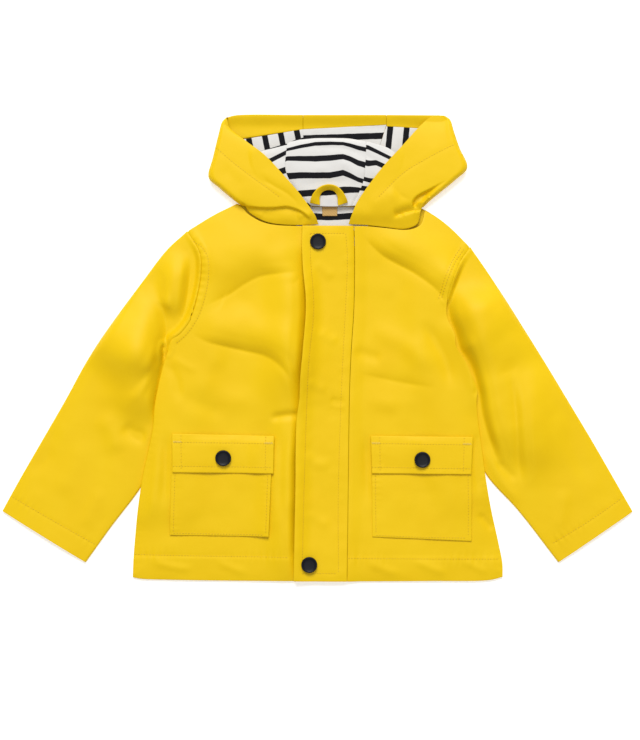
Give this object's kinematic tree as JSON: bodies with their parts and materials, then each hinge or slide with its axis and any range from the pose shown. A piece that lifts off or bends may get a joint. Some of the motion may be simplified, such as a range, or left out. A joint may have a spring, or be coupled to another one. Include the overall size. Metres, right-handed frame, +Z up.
{
  "type": "kids raincoat",
  "caption": "Child's hooded raincoat in coated yellow cotton with a striped jersey lining, storm flap, patch pockets and ring snaps, laid flat face up.",
  "frame": {"origin": "middle of the laid coat's outline, on the surface it rests on", "axes": "+X from the right cuff to the left cuff, +Y from the hem to the hood, +Z up from the surface. Right and left are the wearer's."},
  "size_m": [0.631, 0.4666, 0.0147],
  "materials": {
    "coat": "polyurethane-coated cotton, soft satin",
    "lining": "striped cotton jersey, matte",
    "tab": "woven tape, matte",
    "snap": "dark enamelled cap, satin"
  },
  "bodies": {
    "root": {"back_panel": "coat", "right_front": "coat", "left_front": "coat", "storm_flap": "coat", "right_sleeve": "coat", "left_sleeve": "coat", "right_pocket": "coat", "right_pocket_flap": "coat", "left_pocket": "coat", "left_pocket_flap": "coat", "hood_centre": "coat", "hood_right_side": "coat", "hood_left_side": "coat", "hood_facing_right": "coat", "hood_facing_centre": "coat", "hood_facing_left": "coat", "hood_crown": "coat", "hanger_loop": "coat", "back_neck_lining": "lining", "hood_lining_right": "lining", "hood_lining_centre": "lining", "hood_lining_left": "lining", "crown_lining_right": "lining", "crown_lining_centre": "lining", "crown_lining_left": "lining", "neck_tab": "tab", "flap_snap_top": "snap", "flap_snap_bottom": "snap", "right_pocket_snap": "snap", "left_pocket_snap": "snap"}
  },
  "joints": []
}
